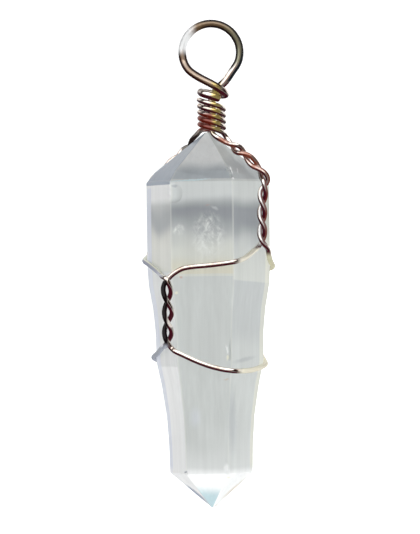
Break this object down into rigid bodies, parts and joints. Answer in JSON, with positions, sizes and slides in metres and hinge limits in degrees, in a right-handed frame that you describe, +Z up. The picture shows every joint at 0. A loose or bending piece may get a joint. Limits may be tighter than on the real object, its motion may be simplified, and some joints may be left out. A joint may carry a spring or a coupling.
{
  "type": "crystal point pendant",
  "caption": "Six-sided pale crystal point held in a cage of twisted silver wire, with a wound wire neck and a round loop to hang it from a chain or cord.",
  "frame": {"origin": "middle of the bounding box, at its base, where the pendant lies on its back", "axes": "+X to the right as seen from the front, +Y from the stone's foot towards the bail loop, +Z up, towards the front"},
  "size_m": [0.0168, 0.0608, 0.0157],
  "materials": {
    "crystal": "polished, milky and fibrous",
    "loop_wire": "silver plated, polished",
    "cage_wire": "silver plated, polished, worn to copper at the neck"
  },
  "bodies": {
    "root": {"crystal": "crystal", "bail_loop": "loop_wire", "cage_wire_right": "cage_wire", "cage_wire_left": "cage_wire"}
  },
  "joints": []
}
